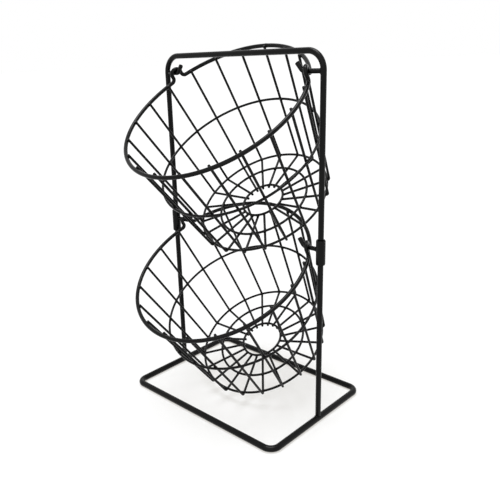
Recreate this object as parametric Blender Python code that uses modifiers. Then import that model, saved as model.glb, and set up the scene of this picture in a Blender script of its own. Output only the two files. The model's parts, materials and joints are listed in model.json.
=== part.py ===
"""Two-tier wire fruit basket: a knock-down wire stand with two baskets hung on hooks.

Metres, +Z up. The origin is on the table, under the middle of the base's front bar. X runs
across the stand, from its left post to its right post. Y runs back, so the baskets' mouths
tip toward -Y.
"""

from math import asin, atan2, ceil, cos, hypot, pi, radians, sin, tan

import bmesh
import bpy
from mathutils import Matrix, Vector

# Clearances
CONTACT_GAP = 0.0003
SIDE_CLEARANCE = 0.0005
KINK_CLEARANCE = 0.0013
BASE_CLEARANCE = 0.0037
TIER_CLEARANCE = 0.0052

# Wire diameters
BASE_WIRE = 0.0077
FRAME_WIRE = 0.0066
RIM_WIRE = 0.0045
HOOK_WIRE = 0.0050
CAGE_WIRE = 0.0028

# Stand
BASE_DEPTH = 0.1770
BASE_CORNER_RADIUS = 0.0120
TOP_CORNER_RADIUS = 0.0200

# Sleeves that join the two halves of the stand
SLEEVE_WALL = 0.00180
SLEEVE_LENGTH = 0.0290
SLEEVE_EDGE_RADIUS = 0.0012
LOWER_POST_DEPTH = 0.0120

# Hooks, each pair turned a little toward the front or, below zero, toward the back
UPPER_HOOK_DROP = 0.0003
LOWER_HOOK_RISE = 0.0026
UPPER_HOOK_TURN = radians(8)
LOWER_HOOK_TURN = radians(-3)
HOOK_SEAT_LENGTH = 0.0022
HOOK_BEND_RADIUS = 0.0065
HOOK_BEND_ANGLE = radians(52)
HOOK_TIP_LENGTH = 0.0080

# Baskets
RIM_RADIUS = 0.1140
BASKET_DEPTH = 0.1484
CORNER_HOOP_RADIUS = 0.0850
MID_HOOP_DEPTH = 0.0698
BOTTOM_RING_RADIUS = 0.0588
CENTRE_RING_RADIUS = 0.0270
CAGE_WIRES = 20
WIRES_BEFORE_KINK = 1
WIRE_TIP_RISE = 0.0045
SPOKE_TIP_LENGTH = 0.0020
KINK_LEG_LENGTH = 0.0027
KINK_FOOT_RADIUS = 0.0045
UPPER_TILT = radians(34.4)
LOWER_TILT = radians(30.8)

# Powder coat
STAND_COLOUR = (0.022, 0.022, 0.022, 1)
STAND_ROUGHNESS = 0.42
BASKET_COLOUR = (0.018, 0.018, 0.018, 1)
BASKET_ROUGHNESS = 0.38

# Facets: a round wire's sides, and the straight steps of a bend, a hoop or a turned piece
THICK_WIRE_SIDES = 12
MEDIUM_WIRE_SIDES = 8
THIN_WIRE_SIDES = 6
BEND_STEPS = 6
THIN_BEND_STEPS = 3
KINK_STEPS = 4
EDGE_STEPS = 2
HOOP_STEPS = 60
RING_STEPS = 40
SLEEVE_STEPS = 20

# A basket's side wires lean from the rim's inside to the corner hoop's outside
WIRE_STEP = CAGE_WIRE + CONTACT_GAP
INSIDE_RIM = (RIM_WIRE + CAGE_WIRE) / 2 + CONTACT_GAP
RIM_INSET = RIM_RADIUS - CORNER_HOOP_RADIUS
HOOP_TO_HOOP = hypot(RIM_INSET, BASKET_DEPTH)
SIDE_LEAN = atan2(RIM_INSET, BASKET_DEPTH) - asin((INSIDE_RIM + WIRE_STEP) / HOOP_TO_HOOP)
SIDE_AT_RIM = RIM_RADIUS - INSIDE_RIM / cos(SIDE_LEAN)
TIP_RADIUS = SIDE_AT_RIM + WIRE_TIP_RISE * tan(SIDE_LEAN)
MID_HOOP_RADIUS = SIDE_AT_RIM - MID_HOOP_DEPTH * tan(SIDE_LEAN) + WIRE_STEP / cos(SIDE_LEAN)
SPOKE_DEPTH = BASKET_DEPTH + WIRE_STEP
CORNER_OUTSIDE = WIRE_STEP + CAGE_WIRE / 2

# The rim's kinks, each midway between two side wires, and the post beside them
WIRE_ANGLE = 2 * pi / CAGE_WIRES
KINK_ANGLE = (WIRES_BEFORE_KINK + 1 / 2) * WIRE_ANGLE
KINK_X = RIM_RADIUS * cos(KINK_ANGLE)
KINK_Y = RIM_RADIUS * sin(KINK_ANGLE)
KINK_HALF_WIDTH = (HOOK_WIRE + RIM_WIRE) / 2 + KINK_CLEARANCE
KINK_HEIGHT = KINK_FOOT_RADIUS + KINK_LEG_LENGTH + KINK_HALF_WIDTH
KINK_SEAT = KINK_HEIGHT - (RIM_WIRE + HOOK_WIRE) / 2 - CONTACT_GAP
POST_X = RIM_RADIUS + RIM_WIRE / 2 + SIDE_CLEARANCE + FRAME_WIRE / 2
POST_TO_KINK = POST_X - KINK_X
STAND_Y = BASE_DEPTH / 2
UPPER_AXIS_Y = STAND_Y - POST_TO_KINK * tan(UPPER_HOOK_TURN)
LOWER_AXIS_Y = STAND_Y - POST_TO_KINK * tan(LOWER_HOOK_TURN)

# Heights, from the table up: the lower basket clears the base, and the upper one clears it
BASE_SEAT = BASE_WIRE / 2 * cos(pi / THICK_WIRE_SIDES)
HOOK_TO_CORNER = KINK_SEAT + BASKET_DEPTH
LOWER_BASKET_DROP = (
    (KINK_Y + CORNER_HOOP_RADIUS) * sin(LOWER_TILT)
    + HOOK_TO_CORNER * cos(LOWER_TILT)
    + CORNER_OUTSIDE
)
LOWER_HOOK_HEIGHT = 2 * BASE_SEAT + BASE_CLEARANCE + LOWER_BASKET_DROP
TILT_CHANGE = UPPER_TILT - LOWER_TILT
BACK_TIP_RISE = (
    (WIRE_TIP_RISE - KINK_SEAT) * cos(TILT_CHANGE)
    - (TIP_RADIUS - KINK_Y) * sin(TILT_CHANGE)
    + CAGE_WIRE / 2
)
UPPER_BASKET_DROP = (
    HOOK_TO_CORNER
    + CORNER_OUTSIDE
    + TIER_CLEARANCE
    + BACK_TIP_RISE
    - (LOWER_AXIS_Y - UPPER_AXIS_Y) * sin(UPPER_TILT)
) / cos(UPPER_TILT)
UPPER_HOOK_HEIGHT = LOWER_HOOK_HEIGHT + UPPER_BASKET_DROP
TOP_BAR_HEIGHT = UPPER_HOOK_HEIGHT + UPPER_HOOK_DROP + TOP_CORNER_RADIUS
SLEEVE_BORE = FRAME_WIRE / 2 + CONTACT_GAP
SLEEVE_RADIUS = SLEEVE_BORE + SLEEVE_WALL
SLEEVE_HEIGHT = LOWER_HOOK_HEIGHT - LOWER_HOOK_RISE
LOWER_POST_TOP = SLEEVE_HEIGHT - SLEEVE_LENGTH / 2 + LOWER_POST_DEPTH
UPPER_LEG_END = LOWER_POST_TOP + CONTACT_GAP


def collection_named(name):
    group = bpy.data.collections.new(name)
    bpy.context.scene.collection.children.link(group)
    return group


def coated_steel(name, colour, roughness):
    """Satin black powder coat over steel."""
    material = bpy.data.materials.new(name)
    material.use_nodes = True
    shader = material.node_tree.nodes["Principled BSDF"]
    shader.inputs["Base Color"].default_value = colour
    shader.inputs["Metallic"].default_value = 0.0
    shader.inputs["Roughness"].default_value = roughness
    material.diffuse_color = colour
    return material


def rounded_path(corners, radii, steps, closed=False):
    """Points along straight runs between corners, with an arc at each corner that has a radius."""
    points = []
    for index, (corner, radius) in enumerate(zip(corners, radii)):
        corner = Vector(corner)
        if radius == 0:
            points.append(corner)
            continue
        back = (Vector(corners[index - 1]) - corner).normalized()
        ahead = (Vector(corners[(index + 1) % len(corners)]) - corner).normalized()
        half_open = back.angle(ahead) / 2
        centre = corner + (back + ahead).normalized() * radius / sin(half_open)
        start = corner + back * radius / tan(half_open) - centre
        axis = ahead.cross(back)
        arc = [
            centre + Matrix.Rotation((pi - 2 * half_open) * step / steps, 3, axis) @ start
            for step in range(steps + 1)
        ]
        if points and (arc[0] - points[-1]).length < CONTACT_GAP:
            arc = arc[1:]
        points += arc
    return points


def wire_curve(name, points, diameter, sides, closed=False, facet_down=False):
    """A round wire along the points, as a bevelled curve with closed ends."""
    curve = bpy.data.curves.new(name, "CURVE")
    curve.dimensions = "3D"
    curve.twist_mode = "Z_UP" if facet_down else "MINIMUM"
    curve.bevel_depth = diameter / 2
    curve.bevel_resolution = sides // 2 - 2
    curve.use_fill_caps = not closed
    spline = curve.splines.new("POLY")
    spline.points.add(len(points) - 1)
    for spline_point, place in zip(spline.points, points):
        spline_point.co = (*place, 1)
        spline_point.tilt = pi / sides if facet_down else 0
    spline.use_cyclic_u = closed
    spline.use_smooth = True
    return curve


def place_piece(name, data, material, group, location, turn=0.0, parent=None):
    piece = bpy.data.objects.new(name, data)
    if not data.materials:
        data.materials.append(material)
    piece.location = location
    piece.rotation_euler = (0, 0, turn)
    piece.parent = parent
    group.objects.link(piece)
    return piece


def make_base_loop(material, group):
    """A rounded rectangle of wire that stands on a flat facet all round."""
    corners = [
        (-POST_X, -STAND_Y, 0),
        (POST_X, -STAND_Y, 0),
        (POST_X, STAND_Y, 0),
        (-POST_X, STAND_Y, 0),
    ]
    path = rounded_path(corners, [BASE_CORNER_RADIUS] * len(corners), BEND_STEPS, closed=True)
    data = wire_curve("base_loop", path, BASE_WIRE, THICK_WIRE_SIDES, closed=True, facet_down=True)
    place_piece("base_loop", data, material, group, (0, STAND_Y, BASE_SEAT))


def make_lower_post(side, sign, material, group):
    """A straight post, from the base's side bar up into the sleeve."""
    name = f"lower_post_{side}"
    foot = BASE_SEAT + BASE_WIRE / 2 + CONTACT_GAP
    data = wire_curve(name, [(0, 0, foot), (0, 0, LOWER_POST_TOP)], FRAME_WIRE, THICK_WIRE_SIDES)
    place_piece(name, data, material, group, (sign * POST_X, STAND_Y, 0))


def make_sleeve(side, sign, material, group):
    """A short tube with rounded outer edges, turned about the post's axis."""
    name = f"sleeve_{side}"
    half = SLEEVE_LENGTH / 2
    edge = min(SLEEVE_EDGE_RADIUS, SLEEVE_WALL - CONTACT_GAP)
    corners = [
        (SLEEVE_BORE, 0, -half),
        (SLEEVE_BORE, 0, half),
        (SLEEVE_RADIUS, 0, half),
        (SLEEVE_RADIUS, 0, -half),
    ]
    profile = rounded_path(corners, [0, 0, edge, edge], EDGE_STEPS, closed=True)
    mesh = bpy.data.meshes.new(name)
    shape = bmesh.new()
    ring = [shape.verts.new(point) for point in profile]
    for first, second in zip(ring, ring[1:] + ring[:1]):
        shape.edges.new((first, second))
    shape.to_mesh(mesh)
    shape.free()
    place = (sign * POST_X, STAND_Y, SLEEVE_HEIGHT)
    sleeve = place_piece(name, mesh, material, group, place)
    screw = sleeve.modifiers.new("turned", "SCREW")
    screw.axis = "Z"
    screw.angle = 2 * pi
    screw.steps = SLEEVE_STEPS
    screw.render_steps = SLEEVE_STEPS
    screw.use_merge_vertices = True
    screw.merge_threshold = 0.00001


def make_upper_frame(material, group):
    """The inverted U: two legs that plug into the sleeves, and the top bar."""
    corners = [
        (-POST_X, 0, UPPER_LEG_END),
        (-POST_X, 0, TOP_BAR_HEIGHT),
        (POST_X, 0, TOP_BAR_HEIGHT),
        (POST_X, 0, UPPER_LEG_END),
    ]
    path = rounded_path(corners, [0, TOP_CORNER_RADIUS, TOP_CORNER_RADIUS, 0], BEND_STEPS)
    data = wire_curve("upper_frame", path, FRAME_WIRE, THICK_WIRE_SIDES)
    place_piece("upper_frame", data, material, group, (0, STAND_Y, 0))


def make_hook(name, sign, height, root_radius, turn, material, group):
    """A J hook: a level shank out to the kink's seat, then a bend up to the tip."""
    bend = HOOK_BEND_RADIUS * tan(HOOK_BEND_ANGLE / 2)
    corner = POST_TO_KINK / cos(turn) + HOOK_SEAT_LENGTH + bend
    tip = bend + HOOK_TIP_LENGTH
    corners = [
        (root_radius + CONTACT_GAP, 0, 0),
        (corner, 0, 0),
        (corner + tip * cos(HOOK_BEND_ANGLE), 0, tip * sin(HOOK_BEND_ANGLE)),
    ]
    path = rounded_path(corners, [0, HOOK_BEND_RADIUS, 0], BEND_STEPS)
    data = wire_curve(name, path, HOOK_WIRE, MEDIUM_WIRE_SIDES)
    facing = pi + turn if sign > 0 else -turn
    place_piece(name, data, material, group, (sign * POST_X, STAND_Y, height), facing)


def kink_outline():
    """The rim's raised arch, as distances along the rim and heights over it."""
    half = KINK_HALF_WIDTH
    foot = KINK_FOOT_RADIUS
    corners = [
        (-half - 2 * foot, 0, 0),
        (-half, 0, 0),
        (-half, 0, KINK_HEIGHT),
        (half, 0, KINK_HEIGHT),
        (half, 0, 0),
        (half + 2 * foot, 0, 0),
    ]
    outline = rounded_path(corners, [0, foot, half, half, foot, 0], KINK_STEPS)
    return outline[1:-1]


def rim_path():
    """The ring with its two kinks, all on one cylinder of the rim's radius."""
    outline = kink_outline()
    reach = (KINK_HALF_WIDTH + KINK_FOOT_RADIUS) / RIM_RADIUS
    kinks = [KINK_ANGLE, pi - KINK_ANGLE, KINK_ANGLE + 2 * pi]
    path = []
    for kink, next_kink in zip(kinks, kinks[1:]):
        path += [(kink + point.x / RIM_RADIUS, point.z) for point in outline]
        span = next_kink - kink - 2 * reach
        steps = ceil(span * HOOP_STEPS / (2 * pi))
        path += [(kink + reach + span * step / steps, 0.0) for step in range(1, steps)]
    return [(RIM_RADIUS * cos(angle), RIM_RADIUS * sin(angle), height) for angle, height in path]


def circle_path(radius, height, steps):
    angles = [2 * pi * step / steps for step in range(steps)]
    return [(radius * cos(angle), radius * sin(angle), height) for angle in angles]


def cage_wire_path():
    """One L-shaped wire in its own upright plane: tip, side, bend round the hoop and spoke."""
    corners = [
        (TIP_RADIUS, 0, WIRE_TIP_RISE),
        (SIDE_AT_RIM - SPOKE_DEPTH * tan(SIDE_LEAN), 0, -SPOKE_DEPTH),
        (CENTRE_RING_RADIUS - SPOKE_TIP_LENGTH, 0, -SPOKE_DEPTH),
    ]
    return rounded_path(corners, [0, WIRE_STEP, 0], THIN_BEND_STEPS)


def make_basket(tier, axis_y, hook_height, tilt, materials, group):
    """One basket, hung at its kinks: its frame turns about the line through the hooks."""
    axis = bpy.data.objects.new(f"{tier}_swing_axis", None)
    axis.location = (0, axis_y, hook_height)
    axis.rotation_euler = (tilt, 0, 0)
    group.objects.link(axis)
    rim_centre = (0, -KINK_Y, -KINK_SEAT)
    rings = [
        ("mid_hoop", MID_HOOP_RADIUS, MID_HOOP_DEPTH, HOOP_STEPS),
        ("corner_hoop", CORNER_HOOP_RADIUS, BASKET_DEPTH, HOOP_STEPS),
        ("bottom_ring", BOTTOM_RING_RADIUS, BASKET_DEPTH, RING_STEPS),
        ("centre_ring", CENTRE_RING_RADIUS, BASKET_DEPTH, RING_STEPS),
    ]
    rim = wire_curve(f"{tier}_rim", rim_path(), RIM_WIRE, MEDIUM_WIRE_SIDES, closed=True)
    place_piece(f"{tier}_rim", rim, materials["rim"], group, rim_centre, parent=axis)
    for piece, radius, depth, steps in rings:
        path = circle_path(radius, -depth, steps)
        ring = wire_curve(f"{tier}_{piece}", path, CAGE_WIRE, THIN_WIRE_SIDES, closed=True)
        place_piece(f"{tier}_{piece}", ring, materials[piece], group, rim_centre, parent=axis)
    wire = wire_curve(f"{tier}_wire", cage_wire_path(), CAGE_WIRE, THIN_WIRE_SIDES)
    for number in range(CAGE_WIRES):
        name = f"{tier}_wire_{number + 1:02d}"
        turn = number * WIRE_ANGLE
        place_piece(name, wire, materials["wire"], group, rim_centre, turn, parent=axis)


def main():
    for old in list(bpy.data.objects):
        bpy.data.objects.remove(old, do_unlink=True)
    group = collection_named("two_tier_fruit_basket")
    stand_names = ("base_loop", "lower_post", "sleeve", "upper_frame", "hook")
    basket_names = ("rim", "mid_hoop", "corner_hoop", "bottom_ring", "centre_ring", "wire")
    materials = {name: coated_steel(name, STAND_COLOUR, STAND_ROUGHNESS) for name in stand_names}
    for name in basket_names:
        materials[name] = coated_steel(name, BASKET_COLOUR, BASKET_ROUGHNESS)
    hook_tiers = (
        ("upper", UPPER_HOOK_HEIGHT, FRAME_WIRE / 2, UPPER_HOOK_TURN),
        ("lower", LOWER_HOOK_HEIGHT, SLEEVE_RADIUS, LOWER_HOOK_TURN),
    )
    make_base_loop(materials["base_loop"], group)
    make_upper_frame(materials["upper_frame"], group)
    for side, sign in (("left", -1), ("right", 1)):
        make_lower_post(side, sign, materials["lower_post"], group)
        make_sleeve(side, sign, materials["sleeve"], group)
        for tier, height, root, turn in hook_tiers:
            make_hook(f"{tier}_hook_{side}", sign, height, root, turn, materials["hook"], group)
    make_basket("upper", UPPER_AXIS_Y, UPPER_HOOK_HEIGHT, UPPER_TILT, materials, group)
    make_basket("lower", LOWER_AXIS_Y, LOWER_HOOK_HEIGHT, LOWER_TILT, materials, group)


main()
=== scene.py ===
"""The looks of the two-tier wire fruit basket: round powder-coated wires, their bends and welds."""

import json
from math import asin, atan2, ceil, cos, exp, hypot, pi, radians, sin, sqrt, tan

import bpy
import numpy as np
from mathutils import Matrix, Vector


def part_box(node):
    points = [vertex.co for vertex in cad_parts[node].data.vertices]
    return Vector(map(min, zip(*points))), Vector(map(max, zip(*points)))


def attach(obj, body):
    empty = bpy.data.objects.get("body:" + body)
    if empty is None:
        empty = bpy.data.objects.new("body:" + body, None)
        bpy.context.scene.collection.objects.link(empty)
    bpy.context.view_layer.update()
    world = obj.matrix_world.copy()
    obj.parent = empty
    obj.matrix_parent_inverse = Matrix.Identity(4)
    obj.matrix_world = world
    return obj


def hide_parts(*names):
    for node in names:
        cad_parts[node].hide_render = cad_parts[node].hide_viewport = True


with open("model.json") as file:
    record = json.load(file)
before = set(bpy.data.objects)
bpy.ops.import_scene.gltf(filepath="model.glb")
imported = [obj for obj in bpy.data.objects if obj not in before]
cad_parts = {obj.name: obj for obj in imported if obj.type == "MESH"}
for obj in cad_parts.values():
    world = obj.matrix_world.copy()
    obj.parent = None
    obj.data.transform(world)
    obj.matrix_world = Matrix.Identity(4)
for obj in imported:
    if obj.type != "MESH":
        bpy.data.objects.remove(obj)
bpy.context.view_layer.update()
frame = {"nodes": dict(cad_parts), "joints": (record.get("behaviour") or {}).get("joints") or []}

# Wire diameters and the clearance between welded wires, in metres. The rims, hooks and cage wires
# are drawn thicker than the solids by that clearance, so that they meet where they are welded.
BASE_WIRE = 0.0077
FRAME_WIRE = 0.0066
RIM_WIRE = 0.0045
HOOK_WIRE = 0.0050
CAGE_WIRE = 0.0028
WELD_GAP = 0.0003

# How far the welds press the cage wires into each other, and draw the rim in on to its wires
CAGE_SINK = 0.00035
RIM_SINK = 0.0005

# Bends
BASE_CORNER_RADIUS = 0.0120
TOP_CORNER_RADIUS = 0.0200
HOOK_BEND_RADIUS = 0.0065
HOOK_BEND_ANGLE = radians(52)
HOOK_SEAT_LENGTH = 0.0022
HOOK_TIP_LENGTH = 0.0080
KINK_CLEARANCE = 0.0013
KINK_LEG_LENGTH = 0.0027
KINK_FOOT_RADIUS = 0.0045
WIRE_TIP_RISE = 0.0022
SPOKE_TIP_LENGTH = 0.0019

# Edges of the sleeves
SLEEVE_EDGE_RADIUS = 0.0014
SLEEVE_LIP_RADIUS = 0.0004

# The basket's wires, the two kinks of its rim, and where each ring's ends are butt-welded
CAGE_WIRES = 20
WIRE_ANGLE = 2 * pi / CAGE_WIRES
WIRES_BEFORE_KINK = 1
KINK_ANGLE = (WIRES_BEFORE_KINK + 1 / 2) * WIRE_ANGLE
RIM_SEAM_ANGLE = pi / 2
HOOP_SEAM_ANGLES = {"mid_hoop": 1.9, "corner_hoop": 4.5, "bottom_ring": 2.6, "centre_ring": 0.6}

# Fineness of the meshes, and the sides of the base loop's solid, whose flats its box measures
THICK_SIDES = 32
RIM_SIDES = 24
THIN_SIDES = 16
BASE_SOLID_SIDES = 12
BEND_STEP = radians(4)
FEWEST_BEND_STEPS = 3
KINK_LEG_STEPS = 3
RIM_STEP = 0.0015
HOOP_STEPS = 180
CUT_EDGE_STEPS = 3
SLEEVE_EDGE_STEPS = 6
SLEEVE_STEPS = 64
WELD_SPOT_SIDES = 8
WELD_SPOT_RINGS = 6
COLLAR_STEPS = 48
COLLAR_SIDES = 14
MERGE_DISTANCE = 0.00001
RIM_MERGE_DISTANCE = 0.00002
SMOOTH_ANGLE = radians(50)

# Cut ends and welds. A weld spot's half sizes run across both wires, along the ring and along the
# side wire. A collar's ripples are each a share of its bead, a number of waves and a shift.
END_CHAMFER = 0.00035
THIN_END_CHAMFER = 0.00025
SEAM_SWELL = 0.10
SEAM_LENGTH = 0.0014
SEAM_REACH = 4 * SEAM_LENGTH
CROSS_WELD = (0.0010, 0.0019, 0.0019)
RIM_WELD = (0.0012, 0.0020, 0.0023)
COLLAR_BEAD = 0.0010
COLLAR_OFFSET = COLLAR_BEAD / 4
COLLAR_THINNING = 0.4
COLLAR_RIPPLES = ((0.06, 9, 1), (0.04, 17, 0))

# Powder coat: a grey, a roughness and the depth of the orange peel in metres, then how much the
# shade and the gloss vary, and each noise's scale per metre and detail
STAND_FINISH = (0.0022, 0.24, 0.00006)
BASKET_FINISH = (0.0022, 0.17, 0.00004)
SHADE_CHANGE = 0.2
BLUE_CAST = 0.02
GLOSS_CHANGE = 0.1
SHADE_NOISE = (60, 3)
GLOSS_NOISE = (260, 2)
PEEL_NOISE = (900, 2)
NOISE_RANGE = (0.3, 0.7)
PEEL_STRENGTH = 0.7
COAT_SPECULAR = 0.14

# The studio: a floor, a surround, and two wide lamps with the place that each shines from, the
# angle that it fills and its strength
FLOOR_SIZE = 60
FLOOR_COLOUR = (0.80, 0.80, 0.80, 1)
SHADOW_COLOUR = (0.46, 0.48, 0.51, 1)
FLOOR_GLOW = (0.55, 0.53, 0.495, 1)
SURROUND_STRENGTH = 0.2
LAMPS = {
    "lamp_overhead": ((-0.03, -0.03, 1.0), radians(38), 2.7),
    "lamp_front": ((0.5, -1.2, 1.0), radians(70), 0.6),
}

# The camera, fitted to the photograph's 500 x 500 pixels
CAMERA_PLACE = (0.4894, -0.4446, 0.4293)
CAMERA_YAW = radians(44.865)
CAMERA_PITCH = radians(18.254)
CAMERA_ROLL = radians(-2.252)
FOCAL_PIXELS = 601.6
CENTRE_PIXEL = (218.5, 255.5)
PHOTO_PIXELS = 500
SENSOR_WIDTH = 36
NEAREST = 0.01
FARTHEST = 50


def points_of(node):
    """A node's corners, one row each."""
    return np.array([vertex.co for vertex in frame["nodes"][node].data.vertices], float)


def middle_of(node):
    low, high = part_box(node)
    return (low + high) / 2


def basket_place(tier):
    """The matrix from a basket's own frame, at its rim's centre, to the stand's frame."""
    corner = Vector(points_of(f"{tier}_corner_hoop").mean(axis=0))
    up = (Vector(points_of(f"{tier}_mid_hoop").mean(axis=0)) - corner).normalized()
    across = Vector((1, 0, 0))
    back = up.cross(across)
    rim = points_of(f"{tier}_rim") - np.array(corner)
    front_half = rim[rim @ np.array(back) < 0]
    centre = corner + up * float((front_half @ np.array(up)).mean())
    matrix = Matrix((across, back, up)).transposed().to_4x4()
    matrix.translation = centre
    return matrix


def ring_size(node, place):
    """A ring's centreline radius and its height in the basket's own frame."""
    own = np.array([place.inverted() @ Vector(point) for point in points_of(node)])
    reach = np.hypot(own[:, 0], own[:, 1])
    return float(reach.max() + reach.min()) / 2, float(own[:, 2].mean())


def rim_radius(tier, place):
    """The centreline radius of a rim's solid, from its front half, which has no kink."""
    own = np.array([place.inverted() @ Vector(point) for point in points_of(f"{tier}_rim")])
    reach = np.hypot(own[:, 0], own[:, 1])[own[:, 1] < 0]
    return float(reach.max() + reach.min()) / 2


def deselect_all():
    for thing in list(bpy.context.selected_objects):
        thing.select_set(False)


def in_edit_mode(piece):
    deselect_all()
    piece.select_set(True)
    bpy.context.view_layer.objects.active = piece
    bpy.ops.object.mode_set(mode="EDIT")
    bpy.ops.mesh.select_all(action="SELECT")


def bent_wire(name, diameter, sides, start, heading, moves, chamfer=END_CHAMFER, closed=False):
    """A wire made as on a bending jig: from its start it runs straight, or bends about an axis."""
    place = Vector(start)
    heading = Vector(heading).normalized()
    deselect_all()
    turn = heading.to_track_quat("Z", "Y").to_euler()
    bpy.ops.mesh.primitive_circle_add(
        vertices=sides, radius=diameter / 2, location=place, rotation=turn
    )
    wire = bpy.context.object
    wire.name = wire.data.name = name
    bpy.ops.object.transform_apply(location=True, rotation=True, scale=True)
    in_edit_mode(wire)
    for move in moves:
        if move[0] == "run":
            length, steps = move[1], move[2] if len(move) > 2 else 1
            for _ in range(steps):
                step = heading * length / steps
                bpy.ops.mesh.extrude_region_move(TRANSFORM_OT_translate={"value": step})
            place += heading * length
        else:
            radius, angle, axis = move[1], move[2], Vector(move[3]).normalized()
            centre = place + axis.cross(heading) * radius
            steps = max(FEWEST_BEND_STEPS, ceil(angle / BEND_STEP))
            bpy.ops.mesh.spin(steps=steps, angle=-angle, center=centre, axis=axis)
            turned = Matrix.Rotation(angle, 3, axis)
            place = centre + turned @ (place - centre)
            heading = turned @ heading
    bpy.ops.mesh.select_all(action="SELECT")
    bpy.ops.mesh.remove_doubles(threshold=MERGE_DISTANCE)
    if not closed:
        cap_ends(chamfer)
    bpy.ops.mesh.select_all(action="SELECT")
    bpy.ops.mesh.normals_make_consistent(inside=False)
    bpy.ops.object.mode_set(mode="OBJECT")
    return wire


def cap_ends(chamfer):
    """Fills a wire's two cut ends, and breaks their edges."""
    bpy.ops.mesh.fill_holes(sides=0)
    bpy.ops.mesh.select_mode(type="FACE")
    bpy.ops.mesh.select_all(action="DESELECT")
    bpy.ops.mesh.select_face_by_sides(number=4, type="GREATER")
    bpy.ops.mesh.bevel(offset=chamfer, segments=CUT_EDGE_STEPS, affect="EDGES")
    bpy.ops.mesh.select_mode(type="VERT")


def smooth(piece):
    deselect_all()
    piece.select_set(True)
    bpy.context.view_layer.objects.active = piece
    bpy.ops.object.shade_smooth_by_angle(angle=SMOOTH_ANGLE, keep_sharp_edges=False)


def put(piece, place):
    """Sets a piece in place in its mesh, so that its object stays at the origin."""
    piece.data.transform(place)
    piece.data.update()


def copy_of(piece, name, place):
    twin = piece.copy()
    twin.data = piece.data.copy()
    twin.name = twin.data.name = name
    bpy.context.scene.collection.objects.link(twin)
    put(twin, place)
    return twin


def finish_piece(piece, body, coat, nodes=()):
    smooth(piece)
    piece.data.materials.clear()
    piece.data.materials.append(coat)
    if nodes:
        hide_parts(*nodes)
    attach(piece, body)


def powder_coat(name, grey, roughness, peel):
    """Black powder coat: a fine orange peel, and slight changes of shade and gloss."""
    coat = bpy.data.materials.new(name)
    coat.use_nodes = True
    tree = coat.node_tree
    shader = tree.nodes["Principled BSDF"]
    place = tree.nodes.new("ShaderNodeTexCoord")

    def noise(scale, detail):
        texture = tree.nodes.new("ShaderNodeTexNoise")
        texture.inputs["Scale"].default_value = scale
        texture.inputs["Detail"].default_value = detail
        tree.links.new(place.outputs["Object"], texture.inputs["Vector"])
        return texture.outputs["Fac"]

    def ranged(value, low, high):
        node = tree.nodes.new("ShaderNodeMapRange")
        node.inputs["From Min"].default_value, node.inputs["From Max"].default_value = NOISE_RANGE
        node.inputs["To Min"].default_value = low
        node.inputs["To Max"].default_value = high
        tree.links.new(value, node.inputs["Value"])
        return node.outputs["Result"]

    shade = tree.nodes.new("ShaderNodeMix")
    shade.data_type = "RGBA"
    for socket, share in (("A", 1 - SHADE_CHANGE), ("B", 1 + SHADE_CHANGE)):
        tone = grey * share
        shade.inputs[socket].default_value = (tone, tone, grey * (share + BLUE_CAST), 1)
    tree.links.new(ranged(noise(*SHADE_NOISE), 0, 1), shade.inputs["Factor"])
    tree.links.new(shade.outputs["Result"], shader.inputs["Base Color"])
    smoothest, roughest = roughness * (1 - GLOSS_CHANGE), roughness * (1 + GLOSS_CHANGE)
    gloss = ranged(noise(*GLOSS_NOISE), smoothest, roughest)
    tree.links.new(gloss, shader.inputs["Roughness"])
    bump = tree.nodes.new("ShaderNodeBump")
    bump.inputs["Strength"].default_value = PEEL_STRENGTH
    bump.inputs["Distance"].default_value = peel
    tree.links.new(noise(*PEEL_NOISE), bump.inputs["Height"])
    tree.links.new(bump.outputs["Normal"], shader.inputs["Normal"])
    shader.inputs["Specular IOR Level"].default_value = COAT_SPECULAR
    return coat


def make_base_loop(coat):
    """The closed rounded rectangle that stands on the table, bent from mid front bar round to it."""
    low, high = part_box("base_loop")
    seat = BASE_WIRE / 2
    inset = seat * cos(pi / BASE_SOLID_SIDES)
    left, right = low.x + inset, high.x - inset
    front, back = low.y + inset, high.y - inset
    across = right - left - 2 * BASE_CORNER_RADIUS
    along = back - front - 2 * BASE_CORNER_RADIUS
    corner = ("bend", BASE_CORNER_RADIUS, pi / 2, (0, 0, 1))
    moves = [("run", across / 2), corner, ("run", along), corner, ("run", across), corner]
    moves += [("run", along), corner, ("run", across / 2)]
    start = ((left + right) / 2, front, seat)
    loop = bent_wire("base_loop_wire", BASE_WIRE, THICK_SIDES, start, (1, 0, 0), moves, closed=True)
    finish_piece(loop, "base", coat, ["base_loop"])


def make_post(side, coat):
    """A straight upright from the base's side bar to inside its sleeve; returns its foot."""
    node = f"lower_post_{side}"
    middle = middle_of(node)
    foot = BASE_WIRE - WELD_GAP
    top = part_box(node)[1].z
    start = (middle.x, middle.y, foot)
    moves = [("run", top - foot)]
    post = bent_wire(f"{node}_rod", FRAME_WIRE, THICK_SIDES, start, (0, 0, 1), moves)
    finish_piece(post, "base", coat, [node])
    return Vector((middle.x, middle.y, foot))


def make_upper_frame(coat):
    """The inverted U, bent from one rod."""
    low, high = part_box("upper_frame")
    middle = middle_of("upper_frame")
    half = FRAME_WIRE / 2
    span = high.x - low.x - FRAME_WIRE - 2 * TOP_CORNER_RADIUS
    rise = high.z - half - low.z - TOP_CORNER_RADIUS
    corner = ("bend", TOP_CORNER_RADIUS, pi / 2, (0, 1, 0))
    moves = [("run", rise), corner, ("run", span), corner, ("run", rise)]
    start = (low.x + half, middle.y, low.z)
    rod = bent_wire("upper_frame_rod", FRAME_WIRE, THICK_SIDES, start, (0, 0, 1), moves)
    finish_piece(rod, "upper_stand", coat, ["upper_frame"])


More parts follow.
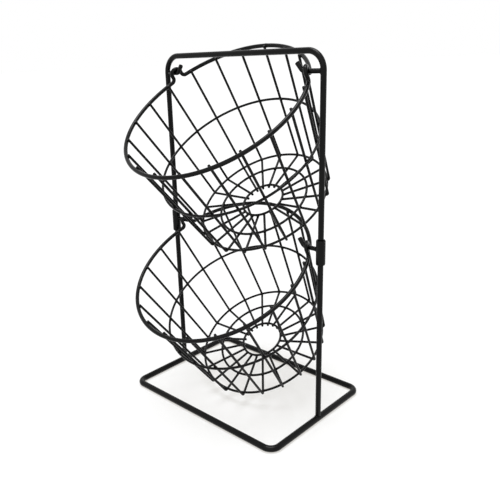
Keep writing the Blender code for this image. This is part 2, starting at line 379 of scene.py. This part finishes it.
def make_sleeve(side, coat):
    """A turned tube with rounded outer edges and a small lip round its bore."""
    node = f"sleeve_{side}"
    low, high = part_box(node)
    middle = middle_of(node)
    bore = FRAME_WIRE / 2 + WELD_GAP
    outside = (high.x - low.x) / 2
    deselect_all()
    bpy.ops.mesh.primitive_plane_add(
        size=1,
        location=(middle.x + (bore + outside) / 2, middle.y, middle.z),
        rotation=(pi / 2, 0, 0),
    )
    sleeve = bpy.context.object
    sleeve.name = sleeve.data.name = f"{node}_tube"
    sleeve.scale = (outside - bore, high.z - low.z, 1)
    bpy.ops.object.transform_apply(location=True, rotation=True, scale=True)
    wall = middle.x + (bore + outside) / 2
    for inner, radius in ((False, SLEEVE_EDGE_RADIUS), (True, SLEEVE_LIP_RADIUS)):
        for vertex in sleeve.data.vertices:
            vertex.select = (vertex.co.x < wall) == inner
        bpy.context.view_layer.objects.active = sleeve
        bpy.ops.object.mode_set(mode="EDIT")
        bpy.ops.mesh.bevel(offset=radius, segments=SLEEVE_EDGE_STEPS, affect="VERTICES")
        bpy.ops.object.mode_set(mode="OBJECT")
    in_edit_mode(sleeve)
    bpy.ops.mesh.delete(type="ONLY_FACE")
    bpy.ops.mesh.select_all(action="SELECT")
    bpy.ops.mesh.spin(steps=SLEEVE_STEPS, angle=2 * pi, center=middle, axis=(0, 0, 1))
    bpy.ops.mesh.select_all(action="SELECT")
    bpy.ops.mesh.remove_doubles(threshold=MERGE_DISTANCE)
    bpy.ops.mesh.normals_make_consistent(inside=False)
    bpy.ops.object.mode_set(mode="OBJECT")
    finish_piece(sleeve, "base", coat, [node])


def hook_heading(tier, side):
    """A hook's root on its post's axis, its shank's level heading, and how far the rim's seat is."""
    joint = next(j for j in frame["joints"] if j["name"] == f"{tier}_basket_swing")
    post = middle_of(f"lower_post_{side}")
    place = basket_place(tier)
    kink_x = rim_radius(tier, place) * cos(KINK_ANGLE)
    inward = -1 if side == "right" else 1
    seat = Vector((-inward * kink_x, joint["pos_m"][1], 0))
    reach = seat - Vector((post.x, post.y, 0))
    root = Vector((post.x, post.y, joint["pos_m"][2]))
    return root, reach.normalized(), reach.length


def make_hook(tier, side, coat):
    """A J hook: a level shank welded to its sleeve or leg, then a bend up to the tip."""
    node = f"{tier}_hook_{side}"
    root, heading, reach = hook_heading(tier, side)
    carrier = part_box(f"sleeve_{side}")[1].x - middle_of(f"sleeve_{side}").x
    inset = (carrier if tier == "lower" else FRAME_WIRE / 2) - WELD_GAP
    moves = [
        ("run", reach + HOOK_SEAT_LENGTH - inset),
        ("bend", HOOK_BEND_RADIUS, HOOK_BEND_ANGLE, heading.cross(Vector((0, 0, 1)))),
        ("run", HOOK_TIP_LENGTH),
    ]
    root += heading * inset
    hook = bent_wire(f"{node}_rod", HOOK_WIRE + WELD_GAP, RIM_SIDES, root, heading, moves)
    finish_piece(hook, "base" if tier == "lower" else "upper_stand", coat, [node])
    return root, heading, inset + WELD_GAP


def swell_seam(ring, radius, height, seam_angle):
    """Thickens a ring a little where its two ends are butt-welded."""
    for vertex in ring.data.vertices:
        angle = atan2(vertex.co.y, vertex.co.x)
        away = radius * ((angle - seam_angle + pi) % (2 * pi) - pi)
        if abs(away) < SEAM_REACH:
            centre = Vector((radius * cos(angle), radius * sin(angle), height))
            grow = 1 + SEAM_SWELL * exp(-((away / SEAM_LENGTH) ** 2))
            vertex.co = centre + (vertex.co - centre) * grow


def make_rim(tier, place, coat):
    """A straight wire with two kinks pressed in it, rolled into a ring and butt-welded."""
    radius = rim_radius(tier, place) - RIM_SINK
    half = (HOOK_WIRE + RIM_WIRE) / 2 + KINK_CLEARANCE
    length = 2 * pi * radius
    reach = half + KINK_FOOT_RADIUS
    first = radius * (pi - KINK_ANGLE - RIM_SEAM_ANGLE) - reach
    between = radius * (2 * KINK_ANGLE + pi) - 2 * reach
    last = length - first - between - 4 * reach
    up, over = (0, -1, 0), (0, 1, 0)
    kink = [
        ("bend", KINK_FOOT_RADIUS, pi / 2, up),
        ("run", KINK_LEG_LENGTH, KINK_LEG_STEPS),
        ("bend", half, pi, over),
        ("run", KINK_LEG_LENGTH, KINK_LEG_STEPS),
        ("bend", KINK_FOOT_RADIUS, pi / 2, up),
    ]
    runs = [[("run", run, ceil(run / RIM_STEP))] for run in (first, between, last)]
    moves = runs[0] + kink + runs[1] + kink + runs[2]
    drawn = RIM_WIRE + WELD_GAP
    start, heading = (0, 0, 0), (1, 0, 0)
    rim = bent_wire(f"{tier}_rim_ring", drawn, RIM_SIDES, start, heading, moves, closed=True)
    for vertex in rim.data.vertices:
        angle = RIM_SEAM_ANGLE + vertex.co.x / radius
        out = radius - vertex.co.y
        vertex.co = (out * cos(angle), out * sin(angle), vertex.co.z)
    in_edit_mode(rim)
    bpy.ops.mesh.remove_doubles(threshold=RIM_MERGE_DISTANCE)
    bpy.ops.mesh.normals_make_consistent(inside=False)
    bpy.ops.object.mode_set(mode="OBJECT")
    swell_seam(rim, radius, 0, RIM_SEAM_ANGLE)
    put(rim, place)
    finish_piece(rim, f"{tier}_basket", coat, [f"{tier}_rim"])


def hoop_size(tier, part, place, lines):
    """A hoop's centreline radius and height: the middle hoop lies outside the side wires."""
    radius, height = ring_size(f"{tier}_{part}", place)
    if part == "mid_hoop":
        lean = lines["lean"]
        radius = lines["at_rim"] + height * tan(lean) + lines["wire_step"] / cos(lean)
    return radius, height


def make_hoop(tier, part, place, lines, coat):
    node = f"{tier}_{part}"
    radius, height = hoop_size(tier, part, place, lines)
    deselect_all()
    bpy.ops.mesh.primitive_torus_add(
        major_segments=HOOP_STEPS,
        minor_segments=THIN_SIDES,
        major_radius=radius,
        minor_radius=(CAGE_WIRE + WELD_GAP) / 2,
        location=(0, 0, height),
    )
    hoop = bpy.context.object
    hoop.name = hoop.data.name = f"{node}_ring"
    bpy.ops.object.transform_apply(location=True, rotation=True, scale=True)
    swell_seam(hoop, radius, height, HOOP_SEAM_ANGLES[part])
    put(hoop, place)
    finish_piece(hoop, f"{tier}_basket", coat, [node])


def cage_lines(tier, place):
    """Where a side wire and its spoke run, in the plane of the basket's axis."""
    radius = rim_radius(tier, place)
    corner_radius, corner_height = ring_size(f"{tier}_corner_hoop", place)
    wire_step = CAGE_WIRE + WELD_GAP - CAGE_SINK
    inside_rim = (RIM_WIRE + CAGE_WIRE) / 2 + WELD_GAP
    inset = radius - corner_radius
    lean = atan2(inset, -corner_height)
    lean -= asin((inside_rim + wire_step) / hypot(inset, corner_height))
    at_rim = radius - inside_rim / cos(lean)
    spoke_height = corner_height - wire_step
    return {
        "lean": lean,
        "at_rim": at_rim,
        "corner": Vector((at_rim + spoke_height * tan(lean), 0, spoke_height)),
        "wire_step": wire_step,
    }


def make_cage_wires(tier, place, lines, coat):
    """One L-shaped wire, copied round the basket: a side, a bend round the corner hoop, a spoke."""
    lean = lines["lean"]
    tip = Vector((lines["at_rim"] + WIRE_TIP_RISE * tan(lean), 0, WIRE_TIP_RISE))
    down = Vector((-sin(lean), 0, -cos(lean)))
    turn = pi / 2 - lean
    trim = lines["wire_step"] * tan(turn / 2)
    side = (lines["corner"] - tip).length - trim
    centre_ring = ring_size(f"{tier}_centre_ring", place)[0]
    spoke = lines["corner"].x - trim - (centre_ring - SPOKE_TIP_LENGTH)
    moves = [("run", side), ("bend", lines["wire_step"], turn, (0, 1, 0)), ("run", spoke)]
    drawn = CAGE_WIRE + WELD_GAP
    first = bent_wire(f"{tier}_wire_00", drawn, THIN_SIDES, tip, down, moves, THIN_END_CHAMFER)
    for number in range(CAGE_WIRES):
        node = f"{tier}_wire_{number + 1:02d}"
        turned = place @ Matrix.Rotation(number * WIRE_ANGLE, 4, "Z")
        wire = copy_of(first, f"{node}_rod", turned)
        finish_piece(wire, f"{tier}_basket", coat, [node])
    bpy.data.objects.remove(first)


def weld_spot(size, place):
    """The small fused swelling where two wires cross, as its own mesh."""
    deselect_all()
    bpy.ops.mesh.primitive_uv_sphere_add(
        segments=WELD_SPOT_SIDES, ring_count=WELD_SPOT_RINGS, radius=1, location=(0, 0, 0)
    )
    spot = bpy.context.object
    spot.scale = size
    bpy.ops.object.transform_apply(location=True, rotation=True, scale=True)
    put(spot, place)
    return spot


def make_cross_welds(tier, place, lines, coat):
    """The welds of every side wire to the rim and hoops, and of every spoke to the rings."""
    lean = lines["lean"]
    rim_inside = rim_radius(tier, place) - RIM_SINK - RIM_WIRE / 2
    joints = {"rim": ((rim_inside, 0), lean, RIM_WELD)}
    for part in ("mid_hoop", "corner_hoop"):
        radius, height = hoop_size(tier, part, place, lines)
        toward = -1 if part == "mid_hoop" else 1
        shift = toward * lines["wire_step"] / 2
        joints[part] = ((radius + shift * cos(lean), height - shift * sin(lean)), lean, CROSS_WELD)
    for part in ("bottom_ring", "centre_ring"):
        radius, height = hoop_size(tier, part, place, lines)
        joints[part] = ((radius, height - lines["wire_step"] / 2), pi / 2, CROSS_WELD)
    for part, ((radius, height), tilt, size) in joints.items():
        turned = Matrix.Rotation(tilt, 4, "Y")
        spot = weld_spot(size, Matrix.Translation((radius, 0, height)) @ turned)
        spots = []
        for number in range(CAGE_WIRES):
            turned = place @ Matrix.Rotation(number * WIRE_ANGLE, 4, "Z")
            spots.append(copy_of(spot, f"{tier}_{part}_weld_{number + 1:02d}", turned))
        bpy.data.objects.remove(spot)
        welds = join(spots, f"{tier}_{part}_welds")
        finish_piece(welds, f"{tier}_basket", coat)


def join(parts, name):
    deselect_all()
    for part in parts:
        part.select_set(True)
    bpy.context.view_layer.objects.active = parts[0]
    bpy.ops.object.join()
    joined = bpy.context.object
    joined.name = joined.data.name = name
    return joined


def weld_collar(name, place, axis, bar, wire_radius, bar_radius):
    """A bead round a wire's root, laid on the round bar or post that it is welded to."""
    axis, bar = Vector(axis).normalized(), Vector(bar).normalized()
    middle = wire_radius + COLLAR_OFFSET
    deselect_all()
    bpy.ops.mesh.primitive_torus_add(
        major_segments=COLLAR_STEPS,
        minor_segments=COLLAR_SIDES,
        major_radius=middle,
        minor_radius=COLLAR_BEAD,
    )
    collar = bpy.context.object
    collar.name = collar.data.name = name
    for vertex in collar.data.vertices:
        angle = atan2(vertex.co.y, vertex.co.x)
        ripple = sum(share * sin(waves * angle + shift) for share, waves, shift in COLLAR_RIPPLES)
        thin = (1 + ripple) * (1 - COLLAR_THINNING * sin(angle) ** 2)
        reach = middle + (hypot(vertex.co.x, vertex.co.y) - middle) * thin
        fall = bar_radius - sqrt(bar_radius**2 - (wire_radius * sin(angle)) ** 2)
        vertex.co = (reach * cos(angle), reach * sin(angle), vertex.co.z * thin - fall)
    side = axis.cross(bar)
    matrix = Matrix((bar, side, axis)).transposed().to_4x4()
    matrix.translation = place
    put(collar, matrix)
    return collar


def seen_directly(tree):
    """1 for rays from the camera and for rays that metal or glass would show, 0 for the others."""
    path = tree.nodes.new("ShaderNodeLightPath")
    total = path.outputs["Is Camera Ray"]
    for kind in ("Is Glossy Ray", "Is Transmission Ray"):
        either = tree.nodes.new("ShaderNodeMath")
        either.operation = "MAXIMUM"
        tree.links.new(total, either.inputs[0])
        tree.links.new(path.outputs[kind], either.inputs[1])
        total = either.outputs["Value"]
    return total


def white_floor():
    """A pale floor that shows as white and keeps the object's soft shadow."""
    deselect_all()
    bpy.ops.mesh.primitive_plane_add(size=FLOOR_SIZE, location=(0, 0, 0))
    floor = bpy.context.object
    floor.name = floor.data.name = "studio_floor"
    paint = bpy.data.materials.new("studio_floor_paint")
    paint.use_nodes = True
    tree = paint.node_tree
    tree.nodes.clear()
    out = tree.nodes.new("ShaderNodeOutputMaterial")
    matt = tree.nodes.new("ShaderNodeBsdfDiffuse")
    matt.inputs["Color"].default_value = FLOOR_COLOUR
    shaded = tree.nodes.new("ShaderNodeBsdfDiffuse")
    shaded.inputs["Color"].default_value = SHADOW_COLOUR
    glow = tree.nodes.new("ShaderNodeEmission")
    glow.inputs["Color"].default_value = FLOOR_GLOW
    white = tree.nodes.new("ShaderNodeAddShader")
    choose = tree.nodes.new("ShaderNodeMixShader")
    tree.links.new(shaded.outputs["BSDF"], white.inputs[0])
    tree.links.new(glow.outputs["Emission"], white.inputs[1])
    tree.links.new(seen_directly(tree), choose.inputs["Fac"])
    tree.links.new(matt.outputs["BSDF"], choose.inputs[1])
    tree.links.new(white.outputs["Shader"], choose.inputs[2])
    tree.links.new(choose.outputs["Shader"], out.inputs["Surface"])
    floor.data.materials.append(paint)


def soft_sun(name, place, spread, strength):
    """A far, wide lamp that shines from its place toward the origin."""
    data = bpy.data.lights.new(name, "SUN")
    data.angle = spread
    data.energy = strength
    lamp = bpy.data.objects.new(name, data)
    lamp.location = place
    lamp.rotation_euler = Vector(place).to_track_quat("Z", "Y").to_euler()
    bpy.context.scene.collection.objects.link(lamp)


def studio_world():
    """A plain pale surround, white wherever it is seen."""
    world = bpy.data.worlds.new("studio_world")
    world.use_nodes = True
    tree = world.node_tree
    tree.nodes.clear()
    out = tree.nodes.new("ShaderNodeOutputWorld")
    choose = tree.nodes.new("ShaderNodeMixShader")
    for place, strength in ((1, SURROUND_STRENGTH), (2, 1)):
        light = tree.nodes.new("ShaderNodeBackground")
        light.inputs["Color"].default_value = (1, 1, 1, 1)
        light.inputs["Strength"].default_value = strength
        tree.links.new(light.outputs["Background"], choose.inputs[place])
    tree.links.new(seen_directly(tree), choose.inputs["Fac"])
    tree.links.new(choose.outputs["Shader"], out.inputs["Surface"])
    bpy.context.scene.world = world


def make_camera():
    ahead = Vector((
        -sin(CAMERA_YAW) * cos(CAMERA_PITCH),
        cos(CAMERA_YAW) * cos(CAMERA_PITCH),
        -sin(CAMERA_PITCH),
    ))
    level_right = Vector((cos(CAMERA_YAW), sin(CAMERA_YAW), 0))
    level_up = level_right.cross(ahead)
    right = cos(CAMERA_ROLL) * level_right + sin(CAMERA_ROLL) * level_up
    up = right.cross(ahead)
    data = bpy.data.cameras.new("camera")
    data.sensor_width = SENSOR_WIDTH
    data.lens = SENSOR_WIDTH * FOCAL_PIXELS / PHOTO_PIXELS
    data.shift_x = (PHOTO_PIXELS / 2 - CENTRE_PIXEL[0]) / PHOTO_PIXELS
    data.shift_y = (CENTRE_PIXEL[1] - PHOTO_PIXELS / 2) / PHOTO_PIXELS
    data.clip_start, data.clip_end = NEAREST, FARTHEST
    camera = bpy.data.objects.new("camera", data)
    matrix = Matrix((right, up, -ahead)).transposed().to_4x4()
    matrix.translation = CAMERA_PLACE
    camera.matrix_world = matrix
    bpy.context.scene.collection.objects.link(camera)
    bpy.context.scene.camera = camera


def make_stand(coat):
    """The base, posts, sleeves, frame and hooks, with the weld beads at their roots."""
    make_base_loop(coat)
    make_upper_frame(coat)
    upright, side_bar = (0, 0, 1), (0, 1, 0)
    beads = {"post": [], "lower": [], "upper": []}
    for side in ("left", "right"):
        foot = make_post(side, coat)
        name = f"post_weld_{side}"
        bead = weld_collar(name, foot, upright, side_bar, FRAME_WIRE / 2, BASE_WIRE / 2)
        beads["post"].append(bead)
        make_sleeve(side, coat)
        for tier in ("lower", "upper"):
            root, heading, carrier_radius = make_hook(tier, side, coat)
            name = f"{tier}_hook_weld_{side}"
            bead = weld_collar(name, root, heading, upright, HOOK_WIRE / 2, carrier_radius)
            beads[tier].append(bead)
    finish_piece(join(beads["post"], "post_welds"), "base", coat)
    finish_piece(join(beads["lower"], "lower_hook_welds"), "base", coat)
    finish_piece(join(beads["upper"], "upper_hook_welds"), "upper_stand", coat)


def make_basket(tier, coat):
    place = basket_place(tier)
    lines = cage_lines(tier, place)
    make_rim(tier, place, coat)
    for part in HOOP_SEAM_ANGLES:
        make_hoop(tier, part, place, lines, coat)
    make_cage_wires(tier, place, lines, coat)
    make_cross_welds(tier, place, lines, coat)


def main():
    make_stand(powder_coat("stand_coat", *STAND_FINISH))
    basket_coat = powder_coat("basket_coat", *BASKET_FINISH)
    for tier in ("upper", "lower"):
        make_basket(tier, basket_coat)
    white_floor()
    studio_world()
    for name, (place, spread, strength) in LAMPS.items():
        soft_sun(name, place, spread, strength)
    make_camera()
    bpy.context.scene.view_settings.view_transform = "Standard"


main()
